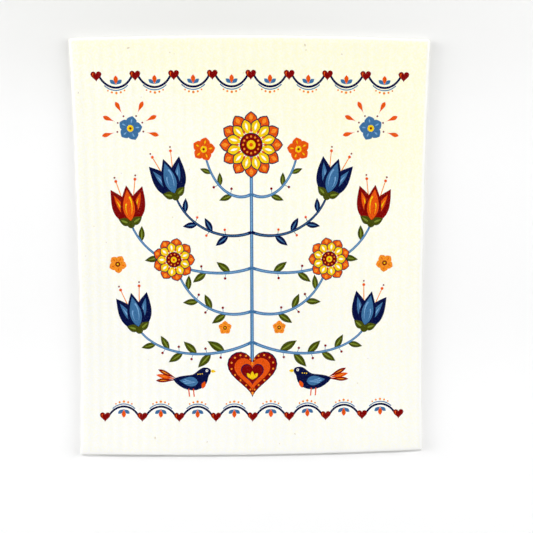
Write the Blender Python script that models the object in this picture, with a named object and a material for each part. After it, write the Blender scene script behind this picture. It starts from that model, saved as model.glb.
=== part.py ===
"""A dry sponge cloth: one sheet of cellulose and cotton with a folk print, lying as it would on a table.

The origin is on the table under the middle of the sheet, +Y points to the top of the print and +Z up.
The sheet is drawn flat, as it was cut and printed, and then takes the shape that it dried to.
"""

import math

import bmesh
import bpy
from mathutils import Vector
from mathutils.geometry import delaunay_2d_cdt

MM = 0.001

# The cut sheet, in millimetres
WIDTH = 170.0
LENGTH = 200.0
THICKNESS = 2.0
CORNER_RADIUS = 1.2
EDGE_ROUND = 0.5
EDGE_STEPS = 2
CORNER_STEPS = 3
MESH_PITCH = 12.0

# The shape it dried to, in millimetres: drawn in at the sides, run out at the ends, the edges curled up
# round a middle that lies flat, as far as REST_ACROSS and REST_ALONG from the origin
SIDE_DRAW = 1.7
END_BOW = 1.6
REST_ACROSS = 50.0
REST_ALONG = 40.0
SIDE_LIFT = 1.6
TOP_LIFT = 1.2
BOTTOM_LIFT = 1.6
CORNER_LIFT = 1.0

# The print's borders, in millimetres from the middle of the sheet
BAND_WIDTH = 146.0
BAND_SWAGS = 8
BAND_TOP = 82.0
BAND_BOTTOM = -81.0
SWAG_DEPTH = 7.0
SWAG_STROKE = 1.0
BAND_HEART = 5.2
BUDS = ((0, 4.2, "orange"), (52, 3.6, "blue"), (-52, 3.6, "blue"))

# The print's tree; each branch is a curve from the trunk, with the two points that pull at it
TRUNK_WIDTH = 2.0
TRUNK_FOOT = (0.0, -55.0)
STEM_WIDTH = 1.5
STEM_TIP = 1.0
LOW_BRANCH = ((0.0, -44.0), (18.0, -53.0), (46.0, -52.0), (56.0, -38.0))
MIDDLE_BRANCH = ((0.0, -29.0), (15.0, -34.0), (31.0, -26.0), (37.0, -9.0))
HIGH_BRANCH = ((0.0, -8.0), (16.0, -14.0), (50.0, -10.0), (59.0, 13.0))
UPPER_BRANCH = ((0.0, 9.0), (12.0, 4.0), (31.0, 10.0), (37.0, 26.0))
CROWN_BRANCH = ((0.0, 27.0), (7.0, 23.0), (18.0, 28.0), (22.0, 44.0))

# The leaves on each branch: their number, the shares of its way where the first and the last stand,
# the side of the first, 1 or -1, and the lengths of the first and the last
LOW_LEAVES = (6, 0.24, 0.82, 1, 10.0, 7.5)
MIDDLE_LEAVES = (4, 0.28, 0.76, -1, 8.5, 7.5)
HIGH_LEAVES = (5, 0.16, 0.86, 1, 8.5, 7.5)
UPPER_LEAVES = (4, 0.26, 0.8, -1, 8.0, 7.0)
CROWN_LEAVES = (3, 0.3, 0.76, -1, 7.0, 6.0)
LEAF_LEAN = 42
LEAF_SLIMNESS = 0.4

# The print's flowers, birds and heart
TULIP_SIZE = 19.0
TULIP_TURNS = {"low": -12, "high": -6, "upper": -18}
CROWN_ROSETTE = ((0.0, 50.0), 15.5, 12)
SIDE_ROSETTE = ((38.5, -4.0), 10.5, 9)
CROWN_BLOSSOM = ((23.0, 48.0), 5.6)
SKY_BLOSSOM = ((58.0, 58.0), 5.8)
SIDE_BLOSSOM = ((66.0, -6.0), 4.4)
LOW_BLOSSOM = ((13.5, -37.0), 3.4)
RAY_TURNS = (-104, -66, -28, 28, 66, 104)
HEART_AT = (0.0, -60.0)
HEART_RINGS = ((25.0, "crimson"), (18.0, "orange"), (10.5, "crimson"))
BIRD_AT = (31.0, -63.0)
BIRD_SIZE = 13.0
BIRD_LEG = 0.6

# The bird's outline at size 1, round from its head: curves along its back, belly, breast and brow
BIRD_OUTLINE = (
    ((-0.62, 0.5), (-0.36, 0.56), (-0.26, 0.24), (0.0, 0.22), 4),
    ((0.0, 0.22), (0.3, 0.2), (0.5, 0.16), (0.66, 0.06), 3),
    ((0.66, 0.06), (0.4, -0.34), (-0.2, -0.52), (-0.54, -0.2), 5),
    ((-0.54, -0.2), (-0.74, 0.0), (-0.64, 0.16), (-0.76, 0.26), 3),
    ((-0.76, 0.26), (-0.86, 0.4), (-0.74, 0.5), (-0.62, 0.5), 3),
)

# Points that coincide within this distance, in millimetres, are one point
MERGE = 0.05

# Colours as linear red, green and blue
CLOTH_COLOUR = (0.94, 0.93, 0.80)
INK_COLOURS = {
    "navy": (0.006, 0.008, 0.075),
    "blue": (0.043, 0.19, 0.44),
    "crimson": (0.26, 0.006, 0.008),
    "orange": (0.86, 0.095, 0.012),
    "amber": (0.92, 0.29, 0.018),
    "yellow": (0.94, 0.66, 0.015),
    "green": (0.068, 0.098, 0.008),
}


def curve(start, pull_start, pull_end, end, steps=8):
    """Points along the curve that leaves start towards pull_start and reaches end from pull_end."""
    points = []
    for index in range(steps + 1):
        t = index / steps
        weights = ((1 - t) ** 3, 3 * t * (1 - t) ** 2, 3 * t * t * (1 - t), t ** 3)
        corners = (start, pull_start, pull_end, end)
        points.append(Vector((
            sum(w * c[0] for w, c in zip(weights, corners)),
            sum(w * c[1] for w, c in zip(weights, corners)),
        )))
    return points


def brush(line, first, last):
    """The outline of a brush stroke along a line, whose width runs from first to last."""
    left, right = [], []
    for index, point in enumerate(line):
        before = line[max(index - 1, 0)]
        after = line[min(index + 1, len(line) - 1)]
        ahead = (after - before).normalized()
        side = Vector((-ahead.y, ahead.x))
        half = (first + (last - first) * index / (len(line) - 1)) / 2
        left.append(point + side * half)
        right.append(point - side * half)
    return left + right[::-1]


def petal(length, width, widest=0.6, steps=4):
    """A petal that stands on the origin along +Y, widest at that part of its length."""
    bend = math.log(0.5) / math.log(widest)
    half = [width / 2 * math.sin(math.pi * (index / steps) ** bend) for index in range(1, steps)]
    rise = [length * index / steps for index in range(1, steps)]
    right = [Vector((x, y)) for x, y in zip(half, rise)]
    left = [Vector((-x, y)) for x, y in zip(half[::-1], rise[::-1])]
    return [Vector((0, 0)), *right, Vector((0, length)), *left]


def dot(radius, steps=8):
    """A round dot about the origin."""
    turns = [math.tau * index / steps for index in range(steps)]
    return [Vector((radius * math.cos(a), radius * math.sin(a))) for a in turns]


def heart(width, steps=18):
    """A heart about the origin, point down."""
    outline = []
    for index in range(steps):
        a = math.tau * index / steps
        across = 16 * math.sin(a) ** 3
        up = 13 * math.cos(a) - 5 * math.cos(2 * a) - 2 * math.cos(3 * a) - math.cos(4 * a) + 2.5
        outline.append(Vector((across, up)) * width / 32)
    return outline


def lobes(radius, notch, count):
    """A flower's ring of pointed petals; notch is how deep it is cut between two, as a share of radius."""
    outline = []
    for index in range(count * 4):
        a = math.tau * index / (count * 4)
        reach = (1.0, 0.93 - notch / 4, 1.0 - notch, 0.93 - notch / 4)[index % 4]
        outline.append(Vector((-radius * reach * math.sin(a), radius * reach * math.cos(a))))
    return outline


def place(outline, at, turn=0.0, size=1.0):
    """The outline made size times as large, turned by turn degrees and moved to at."""
    a = math.radians(turn)
    return [
        Vector((
            at[0] + size * (p.x * math.cos(a) - p.y * math.sin(a)),
            at[1] + size * (p.x * math.sin(a) + p.y * math.cos(a)),
        ))
        for p in outline
    ]


def inside(at, turn, size, point):
    """Where a point of a motif comes to lie once the motif is placed."""
    return place([Vector(point)], at, turn, size)[0]


def rosette(at, radius, count, turn=0.0):
    """A daisy of orange and yellow petals around a crimson eye."""
    return [
        ("orange", place(lobes(radius, 0.16, count), at, turn)),
        ("yellow", place(lobes(radius * 0.84, 0.3, count), at, turn)),
        ("crimson", place(dot(radius * 0.36, 14), at)),
        ("yellow", place(dot(radius * 0.13), at)),
    ]


def tulip(at, turn, size, cup, lining):
    """A tulip of three petals in a green calyx."""
    fields = []
    for lean in (24, -24):
        fields.append((cup, place(petal(1.0, 0.46, 0.42), at, turn + lean, size)))
        root = inside(at, turn + lean, size, (0, 0.2))
        fields.append((lining, place(petal(0.62, 0.13, 0.45, 3), root, turn + lean, size)))
    fields.append((cup, place(petal(0.98, 0.44, 0.4), at, turn, size)))
    fields.append((lining, place(petal(0.76, 0.28, 0.42), inside(at, turn, size, (0, 0.09)), turn, size)))
    for lean in (62, -62):
        fields.append(("green", place(petal(0.34, 0.2, 0.45, 3), at, turn + lean, size)))
    fields.append(("green", place(dot(0.1, 6), at, turn, size)))
    return fields


def blossom(at, radius, ink, eye, turn=0.0):
    """A small flower of five round petals."""
    fields = [(ink, place(petal(radius, radius * 0.86, 0.62), at, turn + 72 * index)) for index in range(5)]
    fields.append((eye, place(dot(radius * 0.28, 6), at)))
    return fields


def branch(route, ink, leaf_ink, leaves):
    """A stem along a curve, with leaves that stand on its two sides in turn."""
    line = curve(*route, steps=10)
    fields = [(ink, brush(line, STEM_WIDTH, STEM_TIP))]
    count, first, last, side, longest, shortest = leaves
    for number in range(count):
        part = number / (count - 1)
        step, rest = divmod((first + (last - first) * part) * (len(line) - 1), 1)
        root = line[int(step)].lerp(line[int(step) + 1], rest)
        ahead = line[int(step) + 1] - line[int(step)]
        turn = math.degrees(math.atan2(ahead.y, ahead.x)) - 90 + LEAF_LEAN * side * (-1) ** number
        length = longest + (shortest - longest) * part
        fields.append((leaf_ink, place(petal(length, length * LEAF_SLIMNESS, 0.45, 3), root, turn)))
    return fields


def bird(at, size):
    """A small bird that looks towards -X, with a fanned tail, a folded wing and two legs."""
    fields = []
    rump = inside(at, 0, size, (0.42, 0.04))
    for lean, ink in ((-92, "crimson"), (-78, "orange"), (-64, "crimson")):
        fields.append((ink, place(petal(0.9, 0.16, 0.7, 3), rump, lean, size)))
    body = [point for stretch in BIRD_OUTLINE for point in curve(*stretch)[:-1]]
    fields.append(("navy", place(body, at, 0, size)))
    fields.append(("yellow", place(petal(0.2, 0.12, 0.35, 3), inside(at, 0, size, (-0.79, 0.37)), 96, size)))
    fields.append(("blue", place(petal(0.72, 0.36, 0.36), inside(at, 0, size, (-0.3, -0.06)), -84, size)))
    fields.append(("orange", place(petal(0.3, 0.16, 0.5, 3), inside(at, 0, size, (-0.56, -0.02)), 200, size)))
    for across in (-0.12, 0.06):
        leg = place([Vector((across, -0.3)), Vector((across - 0.03, -0.6))], at, 0, size)
        fields.append(("orange", brush(leg, BIRD_LEG, BIRD_LEG)))
    return fields


def band(height, up):
    """A border of swags hung between small hearts, with three buds over each; up is 1 or -1."""
    fields = []
    step = BAND_WIDTH / BAND_SWAGS
    low = height - up * SWAG_DEPTH
    for index in range(BAND_SWAGS):
        left = index * step - BAND_WIDTH / 2
        hooks = [left + step * share for share in (0.08, 0.28, 0.72, 0.92)]
        swag = curve((hooks[0], height), (hooks[1], low), (hooks[2], low), (hooks[3], height))
        fields.append(("navy", brush(swag, SWAG_STROKE, SWAG_STROKE)))
        root = (left + step / 2, height - up * SWAG_DEPTH * 0.56)
        for lean, length, ink in BUDS:
            turn = lean if up > 0 else 180 - lean
            fields.append((ink, place(petal(length, length / 2, 0.6, 3), root, turn)))
    for index in range(BAND_SWAGS + 1):
        fields.append(("crimson", place(heart(BAND_HEART, 12), (index * step - BAND_WIDTH / 2, height))))
    return fields


def right_half():
    """Everything that stands to the right of the trunk, in the order in which it was printed."""
    fields = []
    fields += branch(LOW_BRANCH, "blue", "green", LOW_LEAVES)
    fields += branch(MIDDLE_BRANCH, "blue", "green", MIDDLE_LEAVES)
    fields += branch(HIGH_BRANCH, "blue", "green", HIGH_LEAVES)
    fields += branch(UPPER_BRANCH, "navy", "navy", UPPER_LEAVES)
    fields += branch(CROWN_BRANCH, "blue", "green", CROWN_LEAVES)
    fields += tulip(LOW_BRANCH[-1], TULIP_TURNS["low"], TULIP_SIZE, "navy", "blue")
    fields += rosette(*SIDE_ROSETTE, 10)
    fields += tulip(HIGH_BRANCH[-1], TULIP_TURNS["high"], TULIP_SIZE, "crimson", "orange")
    fields += tulip(UPPER_BRANCH[-1], TULIP_TURNS["upper"], TULIP_SIZE, "navy", "blue")
    fields += blossom(*CROWN_BLOSSOM, "orange", "yellow", 12)
    fields += blossom(*SKY_BLOSSOM, "blue", "yellow", 12)
    fields += blossom(*SIDE_BLOSSOM, "amber", "crimson", 30)
    fields += blossom(*LOW_BLOSSOM, "amber", "crimson")
    for turn in RAY_TURNS:
        root = inside(SKY_BLOSSOM[0], turn, 1, (0, 7.5))
        fields.append(("orange", place(petal(6.5, 2.0, 0.72, 3), root, turn)))
    fields += bird(BIRD_AT, BIRD_SIZE)
    return fields


def print_fields():
    """The whole print, as pairs of an ink and an outline; a later field lies over an earlier one."""
    trunk = [Vector(TRUNK_FOOT), Vector(CROWN_ROSETTE[0])]
    fields = [("blue", brush(trunk, TRUNK_WIDTH, STEM_WIDTH))]
    for ink, outline in right_half():
        fields.append((ink, outline))
        fields.append((ink, [Vector((-p.x, p.y)) for p in outline]))
    fields += rosette(*CROWN_ROSETTE)
    for width, ink in HEART_RINGS:
        fields.append((ink, place(heart(width), HEART_AT)))
    fields += band(BAND_TOP, 1) + band(BAND_BOTTOM, -1)
    return fields


def cut_edge(inset):
    """The outline of the flat sheet, set in from its cut edge; it runs round from the right-hand side."""
    radius = CORNER_RADIUS - inset
    across = WIDTH / 2 - CORNER_RADIUS
    along = LENGTH / 2 - CORNER_RADIUS
    signs = ((1, 1), (-1, 1), (-1, -1), (1, -1))
    corners = [Vector((x * across, y * along)) for x, y in signs]
    outline = []
    for index, corner in enumerate(corners):
        for step in range(CORNER_STEPS + 1):
            a = math.pi / 2 * (index + step / CORNER_STEPS)
            outline.append(corner + radius * Vector((math.cos(a), math.sin(a))))
        ahead = corners[(index + 1) % 4]
        side = Vector((math.cos(a), math.sin(a)))
        pieces = round((ahead - corner).length / MESH_PITCH)
        for step in range(1, pieces):
            outline.append(corner.lerp(ahead, step / pieces) + radius * side)
    return outline


def grid():
    """Points spread over the flat sheet, so that its curled ends are smooth."""
    columns = round(WIDTH / MESH_PITCH)
    rows = round(LENGTH / MESH_PITCH)
    return [
        Vector((WIDTH * (column / columns - 0.5), LENGTH * (row / rows - 0.5)))
        for row in range(1, rows)
        for column in range(1, columns)
    ]


def rest_patch():
    """The middle of the sheet, which lies flat on the table."""
    signs = ((-1, -1), (1, -1), (1, 1), (-1, 1))
    return [Vector((x * REST_ACROSS, y * REST_ALONG)) for x, y in signs]


def beyond(distance, rest, half):
    """How far out a point is between the flat middle and the edge: 0 within the middle, 1 at the edge."""
    return max(abs(distance) - rest, 0.0) / (half - rest)


def curl(point):
    """How far the dry sheet has lifted at a point of the flat sheet."""
    side = SIDE_LIFT * beyond(point.x, REST_ACROSS, WIDTH / 2) ** 2 * (1 - (point.y / (LENGTH / 2)) ** 2)
    end = TOP_LIFT if point.y > 0 else BOTTOM_LIFT
    corner = CORNER_LIFT * max(-point.x / (WIDTH / 2), 0.0) ** 3 if point.y < 0 else 0.0
    return side + (end + corner) * beyond(point.y, REST_ALONG, LENGTH / 2) ** 2


def dried(point, height):
    """The place in metres of a point of the flat sheet at a height above its underside."""
    across = point.x / (WIDTH / 2)
    along = point.y / (LENGTH / 2)
    x = point.x - SIDE_DRAW * across * (1 - along ** 2)
    y = point.y + END_BOW * along * (1 - across ** 2)
    return Vector((x, y, height + curl(point))) * MM


def anticlockwise(outline):
    """The same outline, taken round anticlockwise."""
    area = sum(a.x * b.y - b.x * a.y for a, b in zip(outline, outline[1:] + outline[:1]))
    return outline if area > 0 else outline[::-1]


def triangulate(edge, fields, points):
    """Fill the flat outline with triangles whose sides follow every field.

    Returns the points, the triangles, the field on top of each triangle and, for each point of the
    edge, its place in the list of points.
    """
    corners = list(edge)
    rings = [list(range(len(edge)))]
    for outline in fields:
        rings.append(list(range(len(corners), len(corners) + len(outline))))
        corners += anticlockwise(outline)
    spread, _, triangles, sources, _, covers = delaunay_2d_cdt(corners + points, [], rings, 1, MERGE)
    where = {source: index for index, group in enumerate(sources) for source in group}
    return spread, triangles, [max(cover) for cover in covers], [where[index] for index in range(len(edge))]


def edge_profile():
    """The inset and height of each line around the rim, from the upper face down to the lower one."""
    turns = [math.pi / 2 * step / EDGE_STEPS for step in range(EDGE_STEPS + 1)]
    upper = [(EDGE_ROUND * (1 - math.sin(a)), THICKNESS - EDGE_ROUND * (1 - math.cos(a))) for a in turns]
    return upper + [(inset, THICKNESS - height) for inset, height in reversed(upper)]


def add_face(mesh, edge, outlines, height, slots):
    """Fill one face of the sheet; slots gives the material of the bare cloth and then of each outline.

    Returns the new faces and the points along the edge.
    """
    spread, triangles, tops, places = triangulate(edge, outlines, grid())
    verts = [mesh.verts.new(dried(point, height)) for point in spread]
    faces = []
    for corners, top in zip(triangles, tops):
        face = mesh.faces.new([verts[index] for index in corners])
        face.material_index = slots[top]
        faces.append(face)
    return faces, [verts[index] for index in places]


def build_sheet(inks):
    """The closed body of the sheet; its material slots are the bare cloth and then the inks."""
    mesh = bmesh.new()
    profile = edge_profile()
    rings = [cut_edge(inset) for inset, _ in profile]
    fields = print_fields()
    slots = [0] + [inks.index(ink) + 1 for ink, _ in fields]
    _, upper_edge = add_face(mesh, rings[0], [outline for _, outline in fields], THICKNESS, slots)
    underside, lower_edge = add_face(mesh, rings[-1], [rest_patch()], 0.0, [0, 0])
    bmesh.ops.reverse_faces(mesh, faces=underside)
    between = [
        [mesh.verts.new(dried(point, height)) for point in ring]
        for ring, (_, height) in zip(rings[1:-1], profile[1:-1])
    ]
    lines = [upper_edge, *between, lower_edge]
    for upper, lower in zip(lines, lines[1:]):
        for index, vert in enumerate(upper):
            after = (index + 1) % len(upper)
            mesh.faces.new((vert, lower[index], lower[after], upper[after]))
    bmesh.ops.triangulate(mesh, faces=[face for face in mesh.faces if len(face.verts) > 3])
    sheet = bpy.data.meshes.new("sponge_cloth")
    mesh.to_mesh(sheet)
    mesh.free()
    return sheet


def material(name, colour, roughness):
    """A plain material of one colour."""
    made = bpy.data.materials.new(name)
    made.use_nodes = True
    shader = made.node_tree.nodes["Principled BSDF"]
    shader.inputs["Base Color"].default_value = (*colour, 1.0)
    shader.inputs["Roughness"].default_value = roughness
    shader.inputs["Metallic"].default_value = 0.0
    made.diffuse_color = (*colour, 1.0)
    return made


def main():
    """Clear the scene and make the cloth."""
    for item in list(bpy.data.objects):
        bpy.data.objects.remove(item)
    inks = list(INK_COLOURS)
    sheet = build_sheet(inks)
    sheet.materials.append(material("dry_cellulose", CLOTH_COLOUR, 0.9))
    for ink in inks:
        sheet.materials.append(material(f"ink_{ink}", INK_COLOURS[ink], 0.85))
    cloth = bpy.data.objects.new("sponge_cloth", sheet)
    bpy.context.scene.collection.objects.link(cloth)


main()
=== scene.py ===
"""A dry sponge cloth with a folk print, lying on a pale floor in soft studio light.

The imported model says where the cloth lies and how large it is. This script draws the print as flat
fields of ink, cuts a fine mesh of the flat sheet along them, and then embosses that mesh and gives it
the shape that the sheet dried to. Lengths are in millimetres on the flat sheet, unless a name or a
comment says otherwise, and Geometry Nodes turn them into metres.
"""

import logging
import math
from collections.abc import Mapping, Sequence
from dataclasses import dataclass
from enum import Enum
from typing import Union

import bpy
import numpy
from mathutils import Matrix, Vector
from mathutils.geometry import delaunay_2d_cdt


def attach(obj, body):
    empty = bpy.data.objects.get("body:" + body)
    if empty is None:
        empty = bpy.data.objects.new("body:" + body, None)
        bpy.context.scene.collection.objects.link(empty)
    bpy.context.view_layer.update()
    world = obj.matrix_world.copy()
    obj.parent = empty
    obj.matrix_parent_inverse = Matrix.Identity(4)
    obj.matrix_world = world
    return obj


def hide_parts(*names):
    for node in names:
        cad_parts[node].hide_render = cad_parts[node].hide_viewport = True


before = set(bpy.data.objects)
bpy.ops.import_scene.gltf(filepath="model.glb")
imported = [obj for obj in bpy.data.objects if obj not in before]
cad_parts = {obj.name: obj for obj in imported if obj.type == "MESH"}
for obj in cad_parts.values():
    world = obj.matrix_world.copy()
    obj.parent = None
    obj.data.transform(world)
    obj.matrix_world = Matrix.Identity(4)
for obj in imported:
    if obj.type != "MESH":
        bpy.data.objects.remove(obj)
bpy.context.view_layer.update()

log = logging.getLogger("sponge_cloth")

MM = 0.001
NODE = "sponge_cloth"

# The meshes' attributes: each point's place on the flat sheet, and the ink of each field or corner.
FLAT_PLACE = "cut"
INK = "ink"

Colour = tuple[float, float, float]
Band = tuple[float, float]
Place = tuple[float, float]
Route = tuple[Place, Place, Place, Place]
# What an input socket takes: a wire, a plain value or a block of data such as a material.
Value = Union["Wire", float, int, bool, str, Sequence[float], bpy.types.ID]

BLACK: Colour = (0.0, 0.0, 0.0)
WHITE: Colour = (1.0, 1.0, 1.0)


class Ink(Enum):
    """What fills a field of the print: linear red, green and blue, and how far it covers the cloth."""

    NAVY = (0.001, 0.004, 0.05, 1.0)
    BLUE = (0.05, 0.165, 0.355, 1.0)
    SKY = (0.19, 0.40, 0.66, 1.0)
    CRIMSON = (0.22, 0.001, 0.001, 1.0)
    ORANGE = (0.80, 0.09, 0.004, 1.0)
    AMBER = (0.92, 0.29, 0.018, 1.0)
    YELLOW = (0.94, 0.625, 0.006, 1.0)
    GREEN = (0.06, 0.071, 0.003, 1.0)
    MOSS = (0.20, 0.26, 0.025, 1.0)
    BARE = (0.94, 0.93, 0.80, 0.0)
    HUSK = (0.50, 0.33, 0.14, 0.45)

    @property
    def number(self) -> int:
        """The ink's number in the mesh attribute that holds it."""
        return list(Ink).index(self)


class Wire:
    """An output socket of a node; the operators on it add the nodes that work them out."""

    def __init__(self, graph: "Graph", socket: bpy.types.NodeSocket) -> None:
        """Take hold of a socket in a graph."""
        self.graph = graph
        self.socket = socket

    def other(self, name: str) -> "Wire":
        """Another output of the same node."""
        return Wire(self.graph, self.socket.node.outputs[name])

    def __add__(self, other: Value) -> "Wire":
        """The sum."""
        return self.graph.work("ADD", self, other)

    def __radd__(self, other: Value) -> "Wire":
        """The sum, with the number first."""
        return self.graph.work("ADD", other, self)

    def __sub__(self, other: Value) -> "Wire":
        """The difference."""
        return self.graph.work("SUBTRACT", self, other)

    def __rsub__(self, other: Value) -> "Wire":
        """The difference, with the number first."""
        return self.graph.work("SUBTRACT", other, self)

    def __mul__(self, other: Value) -> "Wire":
        """The product."""
        return self.graph.work("MULTIPLY", self, other)

    def __rmul__(self, other: Value) -> "Wire":
        """The product, with the number first."""
        return self.graph.work("MULTIPLY", other, self)

    def __truediv__(self, other: Value) -> "Wire":
        """The quotient."""
        return self.graph.work("DIVIDE", self, other)

    def __pow__(self, other: Value) -> "Wire":
        """The power."""
        return self.graph.work("POWER", self, other)

    def __abs__(self) -> "Wire":
        """The value without its sign."""
        return self.graph.work("ABSOLUTE", self)


class Graph:
    """A node tree, of a material or of a shape, with one way to add a node to it."""

    def __init__(self, tree: bpy.types.NodeTree) -> None:
        """Start on an empty tree."""
        self.tree = tree

    def node(
        self,
        kind: str,
        settings: Mapping[str, object] | None = None,
        inputs: Mapping[str, Value] | Sequence[Value] = (),
        output: str | int = 0,
    ) -> Wire | None:
        """Add a node.

        Args:
            kind: the node's type.
            settings: its properties, set before anything else.
            inputs: values or links, by the sockets' names or in the order of the sockets in use.
            output: the name or the place of the output to return.

        Returns:
            The output as a wire, or None where the node has no output.
        """
        made = self.tree.nodes.new(kind)
        for name, setting in (settings or {}).items():
            setattr(made, name, setting)
        sockets = [socket for socket in made.inputs if socket.enabled]
        if isinstance(inputs, Mapping):
            chosen = [(next(s for s in sockets if s.name == name), v) for name, v in inputs.items()]
        else:
            chosen = list(zip(sockets, inputs))
        for socket, value in chosen:
            self.feed(socket, value)
        if not made.outputs:
            return None
        outputs = [socket for socket in made.outputs if socket.enabled]
        return Wire(self, outputs[output] if isinstance(output, int) else made.outputs[output])

    def feed(self, socket: bpy.types.NodeSocket, value: Value) -> None:
        """Link a wire to an input socket, or set the input's own value.

        Args:
            socket: the input.
            value: a wire or a value; three numbers do for a colour, and one for a vector.
        """
        if isinstance(value, Wire):
            self.tree.links.new(value.socket, socket)
        elif socket.type == "RGBA" and len(value) == 3:
            socket.default_value = (*value, 1.0)
        elif socket.type == "VECTOR" and isinstance(value, (int, float)):
            socket.default_value = (value, value, value)
        else:
            socket.default_value = value

    def work(self, operation: str, *values: Value) -> Wire:
        """Add a Math node, or a Vector Math node where one of the values is a vector.

        Args:
            operation: the node's operation.
            values: its inputs, in order.

        Returns:
            The result.
        """
        kinds = {value.socket.type for value in values if isinstance(value, Wire)}
        if "RGBA" in kinds:
            raise TypeError("a colour goes through mix, because a Math node turns it grey")
        kind = "ShaderNodeVectorMath" if "VECTOR" in kinds else "ShaderNodeMath"
        return self.node(kind, {"operation": operation}, values)

    def measure(self, operation: str, *vectors: Value) -> Wire:
        """A number that Vector Math works out from vectors, such as a length."""
        return self.node("ShaderNodeVectorMath", {"operation": operation}, vectors, "Value")

    def join(self, x: Value, y: Value, z: Value) -> Wire:
        """The vector of three values."""
        return self.node("ShaderNodeCombineXYZ", inputs=(x, y, z))

    def split(self, vector: Wire) -> tuple[Wire, Wire, Wire]:
        """The three values of a vector."""
        x = self.node("ShaderNodeSeparateXYZ", inputs=(vector,))
        return x, x.other("Y"), x.other("Z")

    def fade(self, value: Value, start: Value, end: Value, first: Value = 0.0, last: Value = 1.0) -> Wire:
        """A smooth passage from first, where value is start, to last, where it is end."""
        settings = {"interpolation_type": "SMOOTHSTEP"}
        return self.node("ShaderNodeMapRange", settings, (value, start, end, first, last))

    def mix(self, factor: Value, first: Value, second: Value) -> Wire:
        """A colour between two."""
        return self.node("ShaderNodeMix", {"data_type": "RGBA"}, {"Factor": factor, "A": first, "B": second})

    def noise(
        self, at: Value, per_mm: Value, detail: float = 2.0, roughness: float = 0.5, seed: Value = 0.0
    ) -> Wire:
        """A cloudy value about 0.5, of that many waves to the millimetre."""
        inputs = {"Vector": at, "W": seed, "Scale": per_mm, "Detail": detail, "Roughness": roughness}
        return self.node("ShaderNodeTexNoise", {"noise_dimensions": "4D"}, inputs)

    def cells(self, at: Value, per_mm: float) -> Wire:
        """The distance to the nearest of scattered points, in shares of their mean spacing."""
        inputs = {"Vector": at, "Scale": per_mm, "Randomness": 1.0}
        return self.node("ShaderNodeTexVoronoi", {"feature": "F1"}, inputs, "Distance")

    def grooves(self, x: Wire, pitch: Value, offset: Value) -> Wire:
        """The grooves between the cloth's ribs: 1 along the middle of each, 0 on the crests beside it."""
        return 0.5 - 0.5 * self.work("COSINE", (x - offset) / pitch * math.tau)


def emptied(owner: bpy.types.Material | bpy.types.World) -> Graph:
    """Clear the node tree of a material or a world.

    Args:
        owner: the material or the world.

    Returns:
        Its tree, with nothing in it.
    """
    owner.use_nodes = True
    owner.node_tree.nodes.clear()
    return Graph(owner.node_tree)


def put_in_scene(name: str, data: bpy.types.ID) -> bpy.types.Object:
    """Make an object and link it to the scene.

    Args:
        name: its name.
        data: its mesh, lamp or camera.

    Returns:
        The object.
    """
    item = bpy.data.objects.new(name, data)
    bpy.context.scene.collection.objects.link(item)
    return item


class Recipe(Graph):
    """A Geometry Nodes tree with named inputs, which ends in Realize Instances and Set Material."""

    def __init__(self, name: str) -> None:
        """Start a tree that takes in a shape and gives one back.

        Args:
            name: the tree's name.
        """
        super().__init__(bpy.data.node_groups.new(name, "GeometryNodeTree"))
        for way in ("INPUT", "OUTPUT"):
            self.tree.interface.new_socket("Shape", in_out=way, socket_type="NodeSocketGeometry")
        self.shape = self.node("NodeGroupInput")

    def take(self, name: str, kind: str = "Float") -> Wire:
        """Add a named input of that kind, and return it."""
        self.tree.interface.new_socket(name, in_out="INPUT", socket_type=f"NodeSocket{kind}")
        return self.shape.other(name)

    def close(self, shape: Wire) -> None:
        """Make the shape real, give it its material and lead it out.

        Args:
            shape: what the tree has made.
        """
        real = self.node("GeometryNodeRealizeInstances", inputs=(shape,))
        material = self.take("Material", "Material")
        dressed = self.node("GeometryNodeSetMaterial", inputs={"Geometry": real, "Material": material})
        self.node("NodeGroupOutput", inputs=(dressed,))

    def run(self, source: bpy.types.Mesh, material: bpy.types.Material, **values: Value) -> bpy.types.Mesh:
        """Shape a mesh with this tree.

        Args:
            source: the mesh that the tree takes in; it is removed afterwards.
            material: what the result is dressed in.
            values: the tree's inputs, by their names in lower case with underscores.

        Returns:
            The result as a plain mesh.
        """
        item = put_in_scene(source.name, source)
        modifier = item.modifiers.new(self.tree.name, "NODES")
        modifier.node_group = self.tree
        values["material"] = material
        kinds = {"NodeSocketFloat": float, "NodeSocketInt": int, "NodeSocketVector": tuple}
        for socket in self.tree.interface.items_tree:
            name = socket.name.lower().replace(" ", "_")
            if socket.in_out == "INPUT" and name in values:
                value = values.pop(name)
                modifier[socket.identifier] = kinds.get(socket.socket_type, lambda kept: kept)(value)
        if values:
            raise ValueError(f"{self.tree.name} has no input for {', '.join(values)}")
        graph = bpy.context.evaluated_depsgraph_get()
        made = bpy.data.meshes.new_from_object(item.evaluated_get(graph))
        bpy.data.objects.remove(item)
        bpy.data.meshes.remove(source)
        return made


def bend(route: Sequence[Place], steps: int = 24) -> list[Vector]:
    """Points along a curve.

    Args:
        route: where it starts, the point that it leaves towards, the point that it arrives from and
            where it ends.
        steps: the number of straight pieces.

    Returns:
        The points, from the start to the end.
    """
    start, leave, arrive, end = (Vector(place) for place in route)
    points = []
    for index in range(steps + 1):
        t = index / steps
        points.append(
            (1 - t) ** 3 * start + 3 * t * (1 - t) ** 2 * leave + 3 * t * t * (1 - t) * arrive + t**3 * end
        )
    return points


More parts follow.
